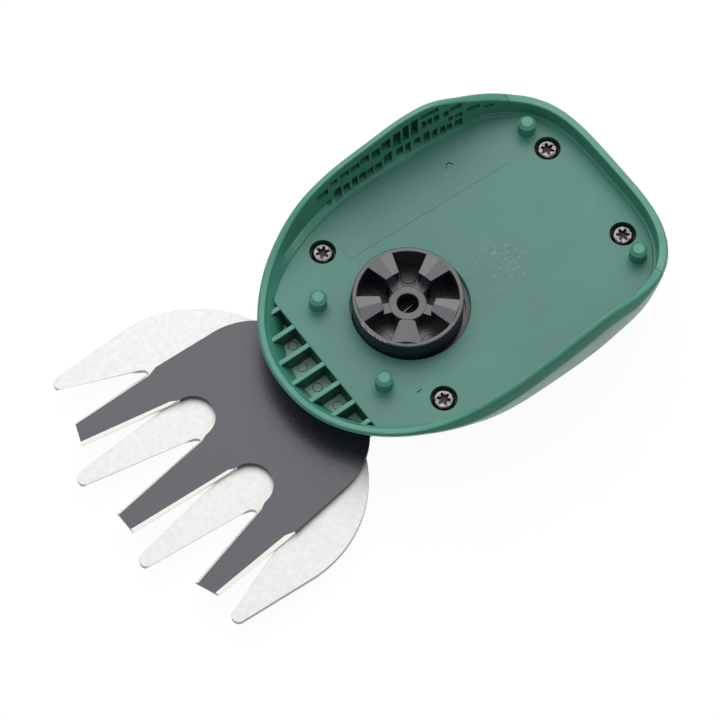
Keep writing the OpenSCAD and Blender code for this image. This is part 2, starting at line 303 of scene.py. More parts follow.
# Fixed blade: punched from 1.5 mm bare steel sheet and tumbled, so its faces are pale; the thin darker line
# along its edges is painted shade, a grey finish on their rounding. Four teeth with rounded tips, ground
# sharp from below so that the cutting edges lie in its upper face. Two screws clamp its tail on the cover.
BLADE_T = 1.5
FIXED_TOP = SEAT_Z + BLADE_T
AXLE_CLEAR_R = 2.5
PIN_CLEAR_R = 3.0
SHOULDER = (60.3, 10.2, 32.5)
OUTER_TIP = (82.0, 39.75, 1.85)
INNER_TIP = (91.9, 13.9, 2)
# the corners of the gaps between the teeth, from the outer tooth inwards
GAP_CORNERS = [[(63.4, 30.6), (62.5, 29.9), (62.2, 29.3), (62.2, 19.4), (62.5, 18.7), (63.4, 18.1)],
               [(63.4, 6.4), (62.5, 5.8), (62.2, 5.2)]]
UNDER_RUN = 0.6
EDGE_LAND = 0.12
RUN_OUT = 2.5
SHEARED_R = 0.20
PALE_STEEL = (0.412, 0.412, 0.408)


def arc(x, y, r, start, end, steps):
    return [(x + r * math.cos(math.radians(start + (end - start) * i / steps)),
             y + r * math.sin(math.radians(start + (end - start) * i / steps))) for i in range(steps + 1)]


def both_sides(half):
    """Half an outline at +Y, from the tail to the tip, made whole and counter-clockwise."""
    return [(x, -y) for x, y in half] + list(reversed(half))


def soften(piece, width, segments=2, finish=-1):
    """Small radius on the edges that turn more than 60 degrees, in a finish of its own if given."""
    bevel = piece.modifiers.new("edge_radius", "BEVEL")
    bevel.width = width * MM
    bevel.segments = segments
    bevel.material = finish
    bevel.limit_method = "ANGLE"
    bevel.angle_limit = math.radians(60)
    bevel.miter_outer = "MITER_ARC"
    settle(piece)
    return piece


def ground_off(tip, root, inside, run, edge_z, far_z):
    """Wedge that a grinding wheel takes off along a tooth edge, from past the tip to the root.
    The edge stays at edge_z, and the ground face meets far_z at run from it, towards inside.
    Over the last RUN_OUT it ends in a point. What it cuts takes the blade's second finish."""
    stroke = Vector(root) - Vector(tip)
    length = stroke.length
    stroke.normalize()
    inwards = Vector((-stroke.y, stroke.x))
    if inwards.dot(Vector(inside) - Vector(tip)) < 0:
        inwards.negate()
    rise = (far_z - edge_z) / run
    clear = math.copysign(BLADE_T, far_z - edge_z)
    outside, beyond = -1.6, 0.3
    section = [(outside, edge_z + outside * rise), (run + beyond, far_z + beyond * rise),
               (outside, far_z + clear)]
    rings = []
    for reach, shift in ((-3, 0), (length - RUN_OUT, 0), (length, -run - 0.05)):
        spots = [Vector(tip) + stroke * reach + inwards * (s + shift) for s, z in section]
        rings.append([(spot.x, spot.y, z) for spot, (s, z) in zip(spots, section)])
    wedge = loft("ground_wedge", rings)
    for face in wedge.data.polygons:
        face.material_index = 1
    work = bmesh.new()
    work.from_mesh(wedge.data)
    bmesh.ops.recalc_face_normals(work, faces=work.faces)
    work.to_mesh(wedge.data)
    work.free()
    return wedge


def grind(blade, edges, run, edge_z, far_z):
    """Grinds the listed edges at +Y and their mirror images at -Y."""
    for side in (1, -1):
        for tip, root, inside in edges:
            flipped = [(x, side * y) for x, y in (tip, root, inside)]
            work_in(blade, ground_off(*flipped, run, edge_z, far_z))


tumbled_steel = new_finish("tumbled_steel", PALE_STEEL, 0.5, 1.0)
speck = noise(tumbled_steel, 3400, 4)
mottled(tumbled_steel, speck, 0.36, 0.60, (0.402, 0.402, 0.398), PALE_STEEL)
uneven_gloss(tumbled_steel, noise(tumbled_steel, 700), 0.48, 0.54)
raised(tumbled_steel, speck, 0.02, 0.02)
# the rounding on the edges takes a mid grey: painted shade standing in for the dark line along the outline
sheared_edge = new_finish("sheared_edge", (0.22, 0.22, 0.22), 0.5, 1.0)

tail = [(-12, 15), (-9, 18), (5, 18), (9, 21.4), (17, 21.4), (21, 19.4), (27, 19.6), (30, 22.3)]
fixed_half = (tail + arc(*SHOULDER, 154, 90, 30) + [(82.2, 41.6)] + arc(*OUTER_TIP, 80, -60, 10)
              + GAP_CORNERS[0] + [(92.4, 15.9)] + arc(*INNER_TIP, 75, -75, 10) + GAP_CORNERS[1])
fixed_blade = plate("shear_plate", both_sides(fixed_half), SEAT_Z, FIXED_TOP)
screw_holes = [(x, y, SHANK_R) for x, y in BLADE_SCREW_SPOTS]
for x, y, r in [(0, 0, AXLE_CLEAR_R), (PIVOT_X, 0, PIN_CLEAR_R)] + screw_holes:
    work_in(fixed_blade, disc("blade_hole", x, y, r, 0, PART_Z + 1))
coat(fixed_blade, tumbled_steel, tumbled_steel, sheared_edge)
soften(fixed_blade, SHEARED_R, finish=2)
# each edge as its tip, its root, and a point inside the tooth
shear_edges = [((82.2, 38.0), GAP_CORNERS[0][0], (75, 38)), ((92.4, 15.9), GAP_CORNERS[0][-1], (80, 14)),
               ((92.4, 11.9), GAP_CORNERS[1][0], (80, 13))]
grind(fixed_blade, shear_edges, UNDER_RUN, FIXED_TOP - EDGE_LAND, SEAT_Z)
smooth(fixed_blade, 12)
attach(fixed_blade, "base")
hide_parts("fixed_blade")

# Blade clamp: two machine screws with star recesses through the fixed blade's tail, and hexagon
# nuts let into the cover's underside. Plain zinc-plated steel.
zinc = new_finish("zinc_plate", (0.62, 0.62, 0.63), 0.34, 1.0)
patch = noise(zinc, 500, 4)
mottled(zinc, patch, 0.35, 0.65, (0.50, 0.50, 0.52), (0.68, 0.68, 0.68))
uneven_gloss(zinc, patch, 0.26, 0.44)
raised(zinc, noise(zinc, 3000, 2), 0.10, 0.03)
for name in ("blade_screws", "blade_nuts"):
    coat(nodes[name], zinc)

# Blade pivot: hardened pin with a large head under the fixed blade, a sintered bush in the moving
# blade, and a cupped spring washer under a circlip that keeps the blades pressed together.
hard_steel = new_finish("hardened_steel", (0.40, 0.40, 0.42), 0.30, 1.0)
uneven_gloss(hard_steel, noise(hard_steel, 1200), 0.22, 0.42)
mottled(hard_steel, noise(hard_steel, 350), *NOISE_SPAN, (0.33, 0.33, 0.36), (0.46, 0.46, 0.47))
sintered = new_finish("sintered_bronze", (0.45, 0.29, 0.13), 0.5, 1.0)
pores = noise(sintered, 4200, 2)
mottled(sintered, pores, 0.38, 0.62, (0.30, 0.19, 0.08), (0.50, 0.33, 0.15))
raised(sintered, pores, 0.25, 0.05)
for name in ("pivot_pin", "spring_washer"):
    coat(nodes[name], hard_steel)
for name in ("pivot_washer", "pivot_circlip"):
    coat(nodes[name], zinc)
coat(nodes["pivot_bush"], sintered)

# Moving blade: the upper of the two, steel with a dark non-stick coat on its faces. The long edges
# of its three teeth are ground through the coat after painting, so they show bare bright steel
# that runs out in a point before each round gap.
REST_SWING = math.radians(2.25)
BLADE_Z = FIXED_TOP + 0.1
BLADE_TOP = BLADE_Z + BLADE_T
GROUND_RUN = 0.8
GROUND_H = 0.85
GAP = (60.1, 12.1, 6.05)
GAP_ROOTS = [(59.6, 17.9), (59.6, 6.3)]
OUTER_CORNERS = [(84.35, 30.3), (86.8, 24.0)]
MIDDLE_CORNER = (90.9, 3.35)
OUTER_ROOT = (59.2, 29.2)
TEETH_X = 60
# how far the blank's front part lies aside, at its shoulders and tips, and where that begins
SHOULDERS_X, SHOULDERS_ASIDE = 45, -0.7
TIPS_X, TIPS_ASIDE = 85, -0.1
ASIDE_X, ASIDE_LENGTH = 16, 12
SLOT_R = 9.5
THROW = 3.65
BUSH_SEAT_R = 4.0


def ease(t):
    """Smooth step from 0 to 1."""
    t = max(0.0, min(1.0, t))
    return t * t * (3 - 2 * t)


dark_coat = new_finish("non_stick_coat", (0.010, 0.009, 0.024), 0.18, 0.0, 0.64)
fleck = noise(dark_coat, 1500)
mottled(dark_coat, noise(dark_coat, 60), *NOISE_SPAN, (0.008, 0.007, 0.020), (0.012, 0.011, 0.027))
uneven_gloss(dark_coat, fleck, 0.27, 0.34)
raised(dark_coat, fleck, 0.02, 0.01)
ground_steel = new_finish("ground_steel", (0.95, 0.93, 0.87), 0.34, 1.0)
strokes = noise(ground_steel, 900, 3, (4, 0.6, 1))
mottled(ground_steel, strokes, 0.35, 0.62, (0.90, 0.87, 0.80), (0.98, 0.97, 0.91))
uneven_gloss(ground_steel, strokes, 0.28, 0.42)

moving_half = ([(-13.5, 13.4), (14, 13.4), (23, 15)] + arc(43, 8, 20, 140, 92, 24) + [(59, 29.4)]
               + OUTER_CORNERS + arc(*GAP, 95, 265, 40) + [MIDDLE_CORNER])
moving_blade = plate("cutter_blade", both_sides(moving_half), BLADE_Z, BLADE_TOP)
coat(moving_blade, dark_coat, ground_steel)
tooth_edges = [(OUTER_CORNERS[0], OUTER_ROOT, (75, 27)), (OUTER_CORNERS[1], GAP_ROOTS[0], (75, 27)),
               (MIDDLE_CORNER, GAP_ROOTS[1], (75, 0))]
grind(moving_blade, tooth_edges, GROUND_RUN, BLADE_TOP - GROUND_H, BLADE_TOP)
for vertex in moving_blade.data.vertices:
    x = vertex.co.x / MM
    aside = SHOULDERS_ASIDE + (TIPS_ASIDE - SHOULDERS_ASIDE) * (x - SHOULDERS_X) / (TIPS_X - SHOULDERS_X)
    vertex.co.y += aside * ease((x - ASIDE_X) / ASIDE_LENGTH) * MM
# the sides of the teeth below the bevels are bare too, their tips are coated
for face in moving_blade.data.polygons:
    upright = abs(face.normal.y) > 0.6 and abs(face.normal.z) < 0.1
    if upright and face.center.x > TEETH_X * MM:
        face.material_index = 1
fork = plate("fork_slot", arc(THROW, 0, SLOT_R, -90, 90, 40) + [(-20, SLOT_R), (-20, -SLOT_R)], 0, 12)
work_in(moving_blade, fork)
work_in(moving_blade, disc("pivot_hole", PIVOT_X, 0, BUSH_SEAT_R, 0, 12))
swing = Matrix.Translation((PIVOT_X * MM, 0, 0)) @ Matrix.Rotation(REST_SWING, 4, "Z")
moving_blade.data.transform(swing @ Matrix.Translation((-PIVOT_X * MM, 0, 0)))
smooth(moving_blade, 12)
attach(moving_blade, "blade")
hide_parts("moving_blade")

# Coupling axle: fixed blackened steel stud in the cover on which the wheel turns, in a bush. Both are near
# black, blackened steel with the deep shade at the bottom of the hub's bore painted in. Only the stud's
# slotted end shows there, with a painted highlight along one side of the slot: a strip of zinc that stands in
# for a glint.
FLOOR = 16.0
AXLE_TOP = FLOOR - 1.8
SLOT_TURN = math.radians(6)
# half width, depth and finish of the slot, and of the painted highlight strip along one side of it
SLOT_CUTS = [(0.40, 0.9, 0), (0.47, 0.08, 1)]
# near black: blackened steel with the bore's deep shade painted in, also used on the hub's bush
black_and_shade = new_finish("blackened_steel", (0.004, 0.004, 0.005), 0.6, 0.0, 0.15)
uneven_gloss(black_and_shade, noise(black_and_shade, 1500), 0.5, 0.7)
raised(black_and_shade, noise(black_and_shade, 2500, 2), 0.10, 0.03)
axle = disc("axle_stud", 0, 0, AXLE_R, AXLE_FOOT, AXLE_TOP, 96)
coat(axle, black_and_shade, zinc)
for wide, deep, index in SLOT_CUTS:
    slot_tool = block("slot_cut", -6, 6, -wide, SLOT_CUTS[0][0], AXLE_TOP - deep, AXLE_TOP + 1)
    coat(slot_tool, black_and_shade, zinc)
    slot_tool.data.transform(Matrix.Rotation(SLOT_TURN, 4, "Z"))
    for face in slot_tool.data.polygons:
        face.material_index = index
    work_in(axle, slot_tool)
smooth(axle)
coat(nodes["hub_bush"], black_and_shade)
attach(axle, "base")
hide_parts("coupling_axle")

# Eccentric: hardened steel disc under the wheel, fixed to it by two zinc-plated screws. A sintered
# slip ring on it runs in the moving blade's fork, and a thrust washer lies under it on the axle.
coat(nodes["eccentric_cam"], hard_steel)
coat(nodes["cam_screws"], zinc)
for name in ("cam_ring", "thrust_washer"):
    coat(nodes[name], sintered)

# Coupling wheel: black glass-filled nylon, moulded in one piece. A thin ring stands on a web, with
# five roof-shaped dogs inside it that the machine's spindle grips, a low hub with the pilot bore,
# and a flange that closes the gap in the tray's floor from below.
WHEEL_R = 14.42
WHEEL_TOP = FLOOR + 6.25
RING_IN = 13.17
HUB_R = 5
HUB_TOP = FLOOR + 2.6
WEB = (FLOOR - 5.4, FLOOR - 2.6)
FLANGE_R = 17
FLANGE = (FLOOR - 4.6, FLOOR - 3.1)
BORE_R = 2.75
HUB_BUSH_R = 4
HUB_BUSH_TOP = FLOOR - 1.5
DOG_COUNT = 5
DOG_TURN = math.radians(51.6)
DOG_INNER = (6.95, 2.0)
DOG_OUTER = (13.3, 3.95)
DOG_TOP = WHEEL_TOP + 0.65
ROOF_FALL = 1.65 / 8
SPOKE_IN = 4.2
SPOKE_HALF = 1.4
WINDOW_BOSS = (10.4, 2.2)
WINDOW_BOSS_H = 0.22
# how far what stands on the web reaches into it
WEB_OVERLAP = 0.2
NYLON = (0.006, 0.005, 0.012)
BARED_NYLON = (0.34, 0.34, 0.35)
KNOCKED_SPOT = (13.4, 3.2, WHEEL_TOP)


def lathe(name, profile, turns=128):
    """Turned body from a closed profile of (radius, height), counter-clockwise in that plane."""
    points, index = [], []
    for r, z in profile:
        if r == 0:
            index.append([len(points)] * turns)
            points.append((0, 0, z))
        else:
            index.append(list(range(len(points), len(points) + turns)))
            points += around(lambda a: (r * math.cos(a), r * math.sin(a), z), turns)
    faces = []
    for k in range(len(profile)):
        low, high = index[k], index[(k + 1) % len(profile)]
        for i in range(turns):
            j = (i + 1) % turns
            face = list(dict.fromkeys((low[i], low[j], high[j], high[i])))
            if len(face) > 2:
                faces.append(tuple(face))
    return new_piece(name, points, faces)


def figure(tree, operation, *values):
    """A number worked out in a tree from sockets and plain numbers."""
    sum_node = tree.nodes.new("ShaderNodeMath")
    sum_node.operation = operation
    for socket, value in zip(sum_node.inputs, values):
        if isinstance(value, bpy.types.NodeSocket):
            tree.links.new(value, socket)
        else:
            socket.default_value = value
    return sum_node.outputs[0]


def how_far(finish, spot, counted=(1, 1, 1)):
    """Distance in metres from a spot given in millimetres, over the counted axes."""
    tree = finish.node_tree
    place = tree.nodes.new("ShaderNodeTexCoord")
    kept, apart = tree.nodes.new("ShaderNodeVectorMath"), tree.nodes.new("ShaderNodeVectorMath")
    kept.operation, apart.operation = "MULTIPLY", "DISTANCE"
    kept.inputs[1].default_value = counted
    apart.inputs[1].default_value = [c * MM for c in spot]
    tree.links.new(place.outputs["Object"], kept.inputs[0])
    tree.links.new(kept.outputs[0], apart.inputs[0])
    return apart.outputs["Value"]


def rubbed_through(finish, share, sound, bared):
    """A finish's sound colour, a socket, giving way to a bared one as share goes from 0 to 1."""
    mix = finish.node_tree.nodes.new("ShaderNodeMix")
    mix.data_type = "RGBA"
    finish.node_tree.links.new(share, mix.inputs[0])
    finish.node_tree.links.new(sound, mix.inputs[6])
    mix.inputs[7].default_value = (*bared, 1)
    return mix.outputs[2]


def new_tree(name, **inputs):
    """An empty tree with the named inputs and one mesh as output, and its two end nodes."""
    tree = bpy.data.node_groups.new(name, "GeometryNodeTree")
    for label, kind in inputs.items():
        tree.interface.new_socket(label, in_out="INPUT", socket_type="NodeSocket" + kind)
    tree.interface.new_socket("Mesh", in_out="OUTPUT", socket_type="NodeSocketGeometry")
    return tree, tree.nodes.new("NodeGroupInput"), tree.nodes.new("NodeGroupOutput")


def put_on(tree, given, out, spots):
    """Ends a tree with the given shape put on the spots, and returns the node that puts it there."""
    add, link = tree.nodes.new, tree.links.new
    shape, put = add("GeometryNodeObjectInfo"), add("GeometryNodeInstanceOnPoints")
    real, paint = add("GeometryNodeRealizeInstances"), add("GeometryNodeSetMaterial")
    link(given.outputs["Shape"], shape.inputs["Object"])
    link(shape.outputs["Geometry"], put.inputs["Instance"])
    link(given.outputs["Finish"], paint.inputs["Material"])
    for a, b in ((spots, put), (put, real), (real, paint), (paint, out)):
        link(a.outputs[0], b.inputs[0])
    return put


def run_tree(name, tree, points, **values):
    """Runs a tree on a mesh of points, drops its Shape and returns the plain mesh that it makes."""
    mesh = bpy.data.meshes.new(name)
    mesh.from_pydata([(x * MM, y * MM, z * MM) for x, y, z in points], [], [])
    piece = bpy.data.objects.new(name, mesh)
    bpy.context.scene.collection.objects.link(piece)
    for key in ("turn", "size"):
        if key in values:
            held = mesh.attributes.new(key, "FLOAT_VECTOR", "POINT")
            held.data.foreach_set("vector", [n for v in values.pop(key) for n in v])
    modifier = piece.modifiers.new(name, "NODES")
    modifier.node_group = tree
    for item in tree.interface.items_tree:
        if item.in_out == "INPUT" and item.name in values:
            modifier[item.identifier] = values[item.name]
    settle(piece)
    bpy.data.objects.remove(values["Shape"])
    return piece


def ring_tree():
    """Copies of a shape turned round the Z axis, the first by an angle."""
    tree, given, out = new_tree("ring_of_shapes", Start="Geometry", Shape="Object", Count="Int",
                                First="Float", Finish="Material")
    add, link = tree.nodes.new, tree.links.new
    spots, index = add("GeometryNodePoints"), add("GeometryNodeInputIndex")
    euler, spin = add("ShaderNodeCombineXYZ"), add("FunctionNodeEulerToRotation")
    link(given.outputs["Count"], spots.inputs["Count"])
    share = figure(tree, "DIVIDE", index.outputs[0], given.outputs["Count"])
    link(figure(tree, "MULTIPLY_ADD", share, 2 * math.pi, given.outputs["First"]), euler.inputs["Z"])
    link(euler.outputs[0], spin.inputs[0])
    put = put_on(tree, given, out, spots)
    link(spin.outputs[0], put.inputs["Rotation"])
    return tree


# the rim is knocked pale at one spot, where the noise is high and only at its outer top edge
nylon = new_finish("black_nylon", NYLON, 0.32, 0.0, 0.8)
skin = noise(nylon, 2200)
dull = graded(nylon, noise(nylon, 300, 4), *NOISE_SPAN, shade(NYLON, 0.8), shade(NYLON, 1.25))
off_axis, height = how_far(nylon, (0, 0, 0), (1, 1, 0)), how_far(nylon, (0, 0, 0), (0, 0, 1))
knocks = ranged(nylon, how_far(nylon, KNOCKED_SPOT), 3.0 * MM, 7.5 * MM, 0.23, -0.08)
for more in (ranged(nylon, off_axis, 13.9 * MM, 14.25 * MM, -0.3, 0.0),
             ranged(nylon, height, (WHEEL_TOP - 0.9) * MM, (WHEEL_TOP - 0.2) * MM, -0.3, 0.0),
             noise(nylon, 1300, 4, (1, 1, 2))):
    knocks = figure(nylon.node_tree, "ADD", knocks, more)
bared_share = ranged(nylon, knocks, 0.62, 0.70, 0.0, 1.0)
into(nylon, "Base Color", rubbed_through(nylon, bared_share, dull, BARED_NYLON))
uneven_gloss(nylon, skin, 0.26, 0.38)
raised(nylon, skin, 0.15, 0.04)
rubbed = new_finish("rubbed_nylon", NYLON, 0.45, 0.0, 0.35)
uneven_gloss(rubbed, noise(rubbed, 1500), 0.38, 0.52)
raised(rubbed, noise(rubbed, 2200), 0.2, 0.05)

wheel = lathe("drive_wheel", [
    (HUB_BUSH_R, WEB[0]), (WHEEL_R, WEB[0]), (WHEEL_R, FLANGE[0]), (FLANGE_R, FLANGE[0]),
    (FLANGE_R, FLANGE[1]), (WHEEL_R, FLANGE[1]), (WHEEL_R, WHEEL_TOP - 0.3),
    (WHEEL_R - 0.1, WHEEL_TOP - 0.1), (WHEEL_R - 0.3, WHEEL_TOP),
    (RING_IN + 0.15, WHEEL_TOP), (RING_IN, WHEEL_TOP - 0.15), (RING_IN, WEB[1]), (HUB_R, WEB[1]),
    (HUB_R, HUB_TOP - 0.25), (HUB_R - 0.1, HUB_TOP - 0.08), (HUB_R - 0.3, HUB_TOP),
    (BORE_R + 0.18, HUB_TOP), (BORE_R, HUB_TOP - 0.18), (BORE_R, HUB_BUSH_TOP), (HUB_BUSH_R, HUB_BUSH_TOP)])
(r_in, half_in), (r_out, half_out) = DOG_INNER, DOG_OUTER
dog_plan = [(r_in, -half_in), (r_out, -half_out), (r_out, 0), (r_out, half_out), (r_in, half_in), (r_in, 0)]
stand_z = WEB[1] - WEB_OVERLAP
dog_foot = [(x, y, stand_z) for x, y in dog_plan]
dog_roof = [(x, y, DOG_TOP - ROOF_FALL * abs(y)) for x, y in dog_plan]
dog = new_piece("dog", dog_foot + dog_roof, [(5, 4, 3, 2), (2, 1, 0, 5), (6, 7, 8, 11), (11, 8, 9, 10)]
                + [(i, (i + 1) % 6, 6 + (i + 1) % 6, 6 + i) for i in range(6)])
spoke = block("hub_rib", SPOKE_IN, r_in + 0.3, -SPOKE_HALF, SPOKE_HALF, stand_z, HUB_TOP - 0.05)
boss_x, boss_r = WINDOW_BOSS
boss_round = around(lambda a: (boss_x + boss_r * math.cos(a), boss_r * math.sin(a)), 40)
window_boss = plate("window_boss", boss_round, stand_z, WEB[1] + WINDOW_BOSS_H)
soften(dog, 0.10)
soften(window_boss, 0.2, 3)
ring_of = ring_tree()
for shape, first in ((dog, DOG_TURN), (spoke, DOG_TURN), (window_boss, DOG_TURN + math.pi / DOG_COUNT)):
    work_in(wheel, run_tree(shape.name + "_ring", ring_of, [(0, 0, 0)], Shape=shape, Count=DOG_COUNT,
                            First=first, Finish=nylon), "UNION")
coat(wheel, nylon, rubbed)
# the ring's outer wall is rubbed dull below its edge
for face in wheel.data.polygons:
    x, y, z = face.center / MM
    if abs(face.normal.z) < 0.2 and math.hypot(x, y) > 14 and z < WHEEL_TOP - 0.8:
        face.material_index = 1
smooth(wheel, 20)
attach(wheel, "coupling")
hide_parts("drive_coupling")

# Felt ring: grey wool felt punched from sheet and pressed under the tray's floor round the wheel.
# It keeps grass out of the gear space.
felt = new_finish("grey_felt", (0.21, 0.21, 0.215), 0.95)
fibre = noise(felt, 2500, 6, (1, 1, 3))
mottled(felt, fibre, *NOISE_SPAN, (0.15, 0.15, 0.155), (0.26, 0.26, 0.265))
raised(felt, fibre, 0.5, 0.2)
coat(nodes["felt_ring"], felt)

# Tray: upper half of the housing, injection moulded in green plastic. The machine's underside sits
# in it between two tall wings and clips on behind the front lip. Its floor is eroded satin, the
# rest glossy, and the wings are cored out from inside in rows of small cells.
WALL = 2.5
RIM_W = 2.0
RIM_DRAFT = 0.2
RIM_ROUND = 0.35
LEDGE = 0.45
FOOT_IN = 4.35
# height of the rim, and how far it stands out over the plain outline, by x from front to rear
RIM_TOPS = [(44, 18.2), (37, 18.2), (30, 18.9), (22, 20.8), (14, 23.4), (6, 26.1), (-2, 27.9), (-10, 29.2),
            (-18, 30.6), (-26, 31.95), (-31, 32.3), (-35, 32.1), (-39, 30.9), (-46, 27.6), (-54, 24.0),
            (-59, 21.9), (-63, 21.3), (-66, 21.3)]
RIM_OUT = [(41, -0.7), (32, -0.55), (22, 0.2), (14, 0.7), (6, 0.8), (-4, 0.5), (-12, 0.3), (-24, 0.3),
           (-32, 0.05), (-43, -0.45), (-54, -0.3), (-62, -0.05), (-68, 0)]
# the band of painted shade on the wing at +Y, a darker copy of the green that reflects less: its rings in the
# wall's section, and where it ends
BAND_RINGS = (5, 8)
BAND_END = (-56.5, 8)
RIM_SPLIT = (-56.55, -56.40)
RIM_SPLIT_SPOTS = (-32.2, 30.5)
ROOF_Z = 13.5
FRONT_X = 24.3
HOLE_R = 15.55
HOLE_MIDDLE = (-0.95, -0.1)
HOLE_EDGE = 0.45
FELT_SEAT = (17.7, 14.35)
PIVOT_RELIEF = (6.2, FIXED_TOP + 5.1)
SINK_R = 3.44
SINK_EDGE = 0.3
SCREW_CLEAR_R = 1.7
HEAD_Z = FLOOR - 2.4
POCKET_X, POCKET_R = 7.2, 29.4
POCKET_Z = FLOOR - 6
POCKET_EDGE = 0.3
CHORD_X = 26.8
RIB_COUNT = 7
RIB_PITCH = 6.57
RIB_T = 1.35
RIB_EDGE = 0.25
RIB_TOP = FLOOR - 0.15
RIBS_END_Y = 21
EJECTORS = [(28.6, -11.1), (30.2, -4.55), (30.5, 2.3), (29.3, 9.6)]
EJECTOR_RING = (1.15, 1.35)
EJECTOR_DEEP = 0.2
PEG_SPOTS = [(18.13, 14.26), (18.13, -14.26), (-57.03, 23.57), (-57.03, -23.57)]
PEG_R = 2.35
PEG_H = 4.7
CELL_BACK = 0.95
LOW_CELL_BACK = 2.1
LOW_CELLS_H = 5
# wing cells as (x, height over the floor of the middle, width, height)
CELLS = [
    (0.5, 6.8, 4.0, 2.6), (-3.6, 8.6, 2.2, 2.0), (-7.2, 8.7, 2.9, 2.2), (-10.6, 8.7, 2.9, 2.6),
    (-13.8, 9.4, 2.8, 3.2), (-17.4, 8.9, 2.7, 3.8), (-20.7, 9.9, 2.9, 4.4), (-24.2, 9.6, 2.4, 6.4),
    (-27.0, 10.0, 1.9, 6.8), (-29.7, 10.4, 2.2, 7.0), (-34.4, 13.3, 5.4, 1.9), (-32.7, 9.4, 1.3, 3.2),
    (-34.4, 9.4, 1.4, 3.0), (-36.4, 9.5, 1.7, 2.9), (-39.3, 9.3, 1.6, 2.6), (-42.2, 10.2, 3.4, 2.0),
    (-40.7, 6.0, 1.3, 2.0), (-43.1, 6.0, 2.2, 2.0), (-47.3, 6.8, 3.6, 2.0), (-51.6, 5.4, 2.8, 1.2),
    (-1.4, 1.9, 1.4, 1.4), (-4.5, 2.9, 2.4, 4.2), (-7.5, 2.6, 2.0, 3.4), (-10.2, 2.8, 1.9, 3.8),
    (-12.8, 2.8, 2.2, 3.3), (-15.3, 2.7, 2.0, 3.0), (-18.0, 2.6, 2.2, 3.2), (-21.1, 3.7, 2.6, 4.6),
    (-24.9, 3.6, 2.1, 3.6), (-27.5, 3.1, 1.7, 4.0), (-30.5, 3.5, 1.8, 3.0), (-33.4, 3.2, 1.9, 4.2),
    (-35.9, 2.9, 1.6, 3.6), (-38.3, 2.7, 1.7, 3.2), (-40.3, 2.7, 1.5, 2.8), (-43.0, 2.7, 2.3, 3.2)]
# scored lines and nicks in the floor, each from one point to another
LINES = [((3.4, -20.05), (-47.7, -18.55)), ((3.4, -20.05), (4.0, -24.9))]
NICKS = [((-33.0, -26.9), (-33.6, -27.9)), ((-33.6, -27.9), (-34.6, -27.9)), ((-34.6, -27.9), (-35.1, -26.9)),
         ((11.3, 20.8), (12.5, 20.8))]
LINE_HALF, LINE_DEEP = 0.09, 0.1
NICK_HALF, NICK_DEEP = 0.15, 0.3
SEAM_Y = 19.2
SEAM_TURN = -0.035
FLOOR_SKIN = (0.042, 0.176, 0.139)
SCUFFED_SKIN = (0.30, 0.42, 0.38)
SCUFFED_SPOT = (-29, 4, FLOOR)


def outline_y(x, inset=0.0):
    """Half width of the housing's outline at x."""
    power, reach = (FRONT_POWER, FRONT_REACH) if x >= WIDEST_X else (REAR_POWER, REAR_REACH)
    part = abs(x - WIDEST_X) / (reach - inset)
    return (HALF_WIDTH - inset) * max(0.0, 1 - part ** power) ** (1 / power)


def wall_section(turn):
    """The wall at a polar angle as (inset, height), from the parting plane over the rim to the floor."""
    x = outline(turn)[0]
    top, out = along(RIM_TOPS, x), along(RIM_OUT, x)
    # shares of the front lip, the rear wall and the tall wings, of which the one at +Y is thinner
    front, behind = ease((x - 14) / 12), ease((-47.0 - x) / 0.8)
    middle = ease((x + 56) / 14) * ease((20 - x) / 18)
    thinned = middle if turn < math.pi else 0
    crease = top - 1.4 + 0.8 * front - 3.4 * middle
    lean, flare = hull_inset(turn), out + 0.3 * middle
    hull = [(lean * (1 - t) ** 1.25 - flare * t, PART_Z + (crease - PART_Z) * t)
            for t in (0, 0.2, 0.4, 0.6, 0.8, 1)]
    round_x, round_z = 0.5 + 0.75 * middle, 0.5 + 0.45 * middle
    turns = [math.radians(b) for b in (0, 22.5, 45, 67.5, 90)]
    over = [(RIM_DRAFT - out + round_x * (1 - math.cos(b)), top - round_z * (1 - math.sin(b))) for b in turns]
    wide = RIM_W - 0.5 * thinned + 0.25 * behind - out
    inner = [(wide - RIM_ROUND * (1 - math.sin(b)), top - RIM_ROUND * (1 - math.cos(b))) for b in turns]
    back = 1.1 * behind
    skirt = 0.35 + (1.1 - 0.4 * behind) * ease((14 - x) / 16)
    foot = []
    for inset, level in ((2.75 - 0.6 * out + 0.6 * back, LEDGE + skirt), (3.45, LEDGE + 0.1), (3.6, LEDGE),
                         (4.1, LEDGE), (FOOT_IN, 0)):
        slope = (top - RIM_ROUND - FLOOR) * (FOOT_IN - inset) / (FOOT_IN - wide)
        foot.append((inset - back, FLOOR + front * slope + (1 - front) * level))
    return hull + over + inner + foot


def spread_tree():
    """Copies of a shape on points, turned and sized by the points' own attributes."""
    tree, given, out = new_tree("shapes_on_points", Spots="Geometry", Shape="Object", Finish="Material")
    add, link = tree.nodes.new, tree.links.new
    turn, size = add("GeometryNodeInputNamedAttribute"), add("GeometryNodeInputNamedAttribute")
    for held, name in ((turn, "turn"), (size, "size")):
        held.data_type = "FLOAT_VECTOR"
        held.inputs["Name"].default_value = name
    spin = add("FunctionNodeEulerToRotation")
    put = put_on(tree, given, out, given)
    link(turn.outputs["Attribute"], spin.inputs[0])
    link(spin.outputs[0], put.inputs["Rotation"])
    link(size.outputs["Attribute"], put.inputs["Scale"])
    return tree


